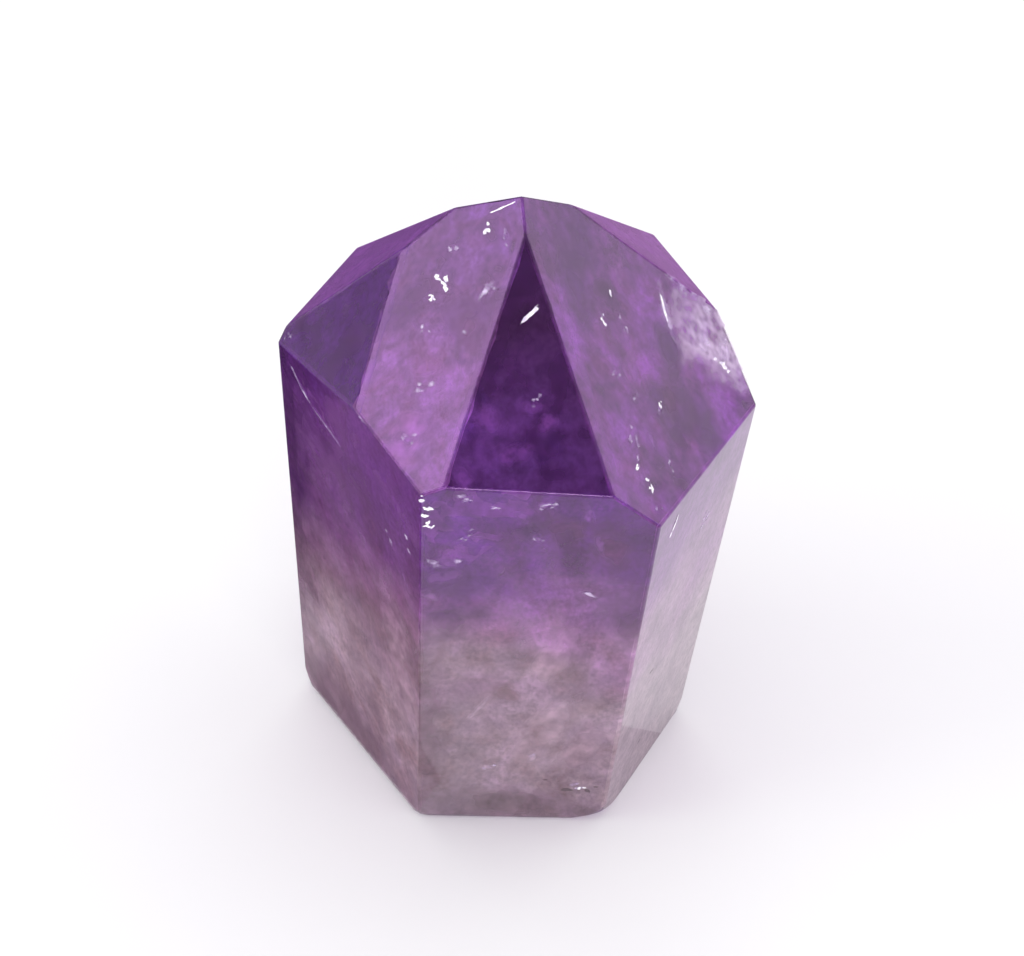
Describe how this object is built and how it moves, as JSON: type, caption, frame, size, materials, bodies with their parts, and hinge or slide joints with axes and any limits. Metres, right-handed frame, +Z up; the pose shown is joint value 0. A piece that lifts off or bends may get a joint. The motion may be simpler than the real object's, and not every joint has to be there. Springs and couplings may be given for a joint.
{
  "type": "polished amethyst point",
  "caption": "Upright polished amethyst crystal with flat prism faces, a faceted tip and a flat sawn foot; violet at the tip, cloudy and paler towards the base.",
  "frame": {"origin": "in the plane of the sawn foot, under the middle of the crystal's bounding box", "axes": "+Z up the crystal towards its tip, and -Y towards the broad front prism face"},
  "size_m": [0.0338, 0.033, 0.0599],
  "materials": {
    "amethyst": "polished, clear violet at the tip, cloudy grey-pink towards the foot, with veils and small fractures inside"
  },
  "bodies": {
    "root": {"amethyst_point": "amethyst"}
  },
  "joints": []
}
